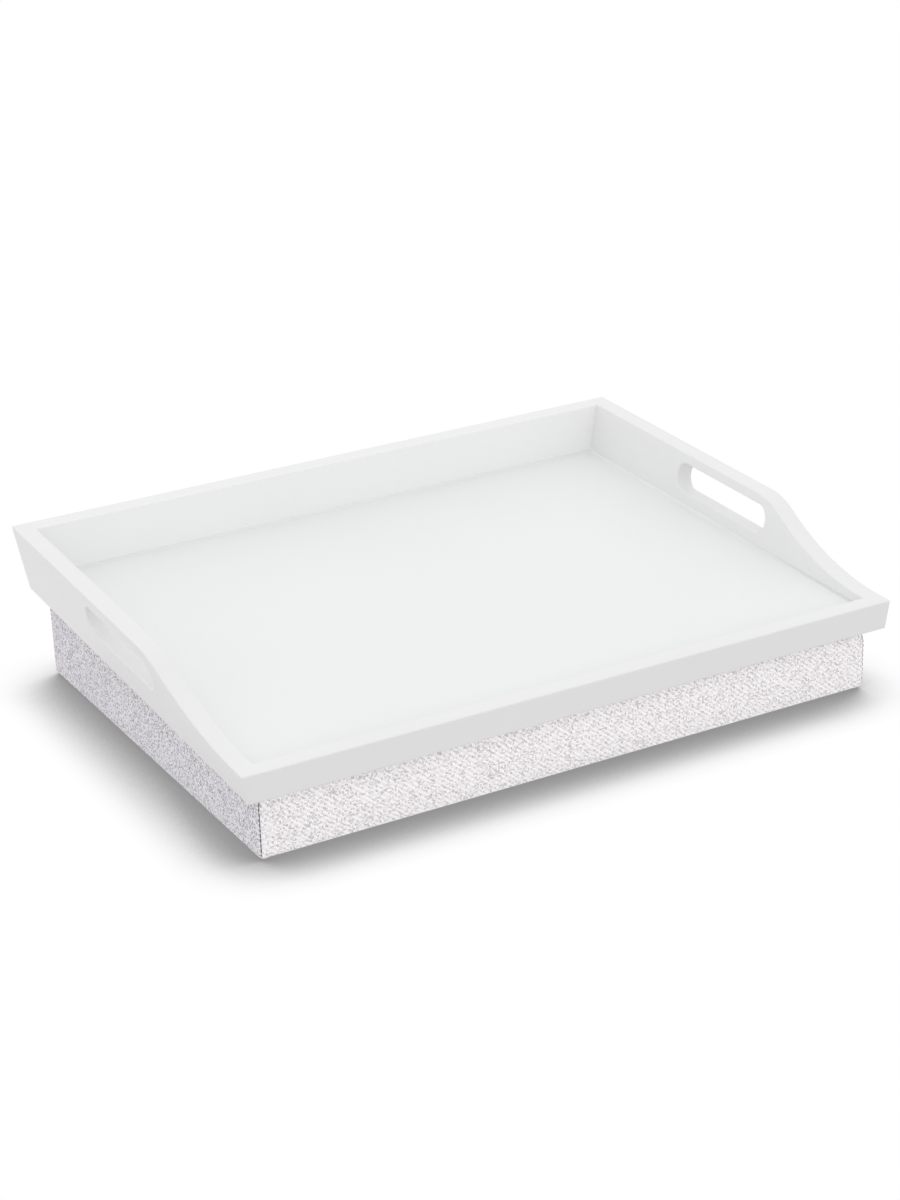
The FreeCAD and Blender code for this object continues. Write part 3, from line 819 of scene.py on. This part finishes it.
def floor_paint():
    """White floor that glows evenly on the object. For the background's rays it is white too, with a painted
    shadow: its glow is dimmed where the object closes off the sky, the more so away from the lean."""
    material = new_material("studio_white_floor")
    leaned = add_node(material, "ShaderNodeCombineXYZ", dict(enumerate(painted_shadow_lean)))
    sky_share = add_node(material, "ShaderNodeAmbientOcclusion", {
        "Distance": shadow_reach, "Normal": leaned}, samples=shadow_samples).outputs["AO"]
    # Painted shadow: the glow seen against the background is dimmed by how little sky a point sees.
    painted_shadow = add_node(material, "ShaderNodeMapRange", {
        "Value": sky_share, "From Min": shadow_start, "To Min": shadow_dark}, interpolation_type="SMOOTHSTEP")
    glow = add_node(material, "ShaderNodeEmission", {"Strength": floor_glow})
    white = add_node(material, "ShaderNodeEmission", {"Strength": painted_shadow})
    shader = add_node(material, "ShaderNodeMixShader", {0: background_rays(material), 1: glow, 2: white})
    add_node(material, "ShaderNodeOutputMaterial", {"Surface": shader})
    return material


floor_points = np.array([(-1, -1, 0), (1, -1, 0), (1, 1, 0), (-1, 1, 0)]) * (floor_size / 2)
floor = new_piece("studio_floor", floor_points, np.array([[0, 1, 2, 3]]), floor_paint(), smooth=False)

scene = bpy.context.scene
world = bpy.data.worlds.new("studio_white")
world.use_nodes = True
world.node_tree.nodes.clear()
strength = add_node(world, "ShaderNodeMix", {"Factor": background_rays(world), "A": room_glow, "B": 1.0})
sky = add_node(world, "ShaderNodeBackground", {"Color": linear("#FFFFFF"), "Strength": strength})
add_node(world, "ShaderNodeOutputWorld", {"Surface": sky})
scene.world = world

softbox_place = Vector((0.05, -1.4, 0.27))
softbox_aim = Vector((0, 0, 0.04))
softbox_light = bpy.data.lights.new("front_softbox", "AREA")
softbox_light.shape = "SQUARE"
softbox_light.size = 0.5
softbox_light.energy = 2.4  # watts
softbox = bpy.data.objects.new("front_softbox", softbox_light)
softbox.location = softbox_place
softbox.rotation_euler = (softbox_aim - softbox_place).to_track_quat("-Z", "Y").to_euler()
scene.collection.objects.link(softbox)
flagged = bpy.data.collections.new("flagged_off_the_softbox")
for board in ("front_rail", "left_end_panel", "right_end_panel"):
    flagged.objects.link(nodes[board])
for entry in flagged.collection_objects:
    entry.light_linking.link_state = "EXCLUDE"
softbox.light_linking.receiver_collection = flagged

camera_place = (-0.6896, -1.35128, 0.65636)
camera_azimuth = math.radians(-27.1515)
camera_elevation = math.radians(21.5800)
camera_roll = math.radians(-3.4206)
camera_data = bpy.data.cameras.new("camera")
camera_data.lens = 77.603
camera_data.clip_end = 50
camera = bpy.data.objects.new("camera", camera_data)
camera.matrix_world = (
    Matrix.Translation(camera_place)
    @ Matrix.Rotation(camera_azimuth, 4, "Z")
    @ Matrix.Rotation(math.pi / 2 - camera_elevation, 4, "X")
    @ Matrix.Rotation(camera_roll, 4, "Z")
)
scene.collection.objects.link(camera)
scene.camera = camera
scene.view_settings.view_transform = "Standard"

bpy.context.view_layer.update()
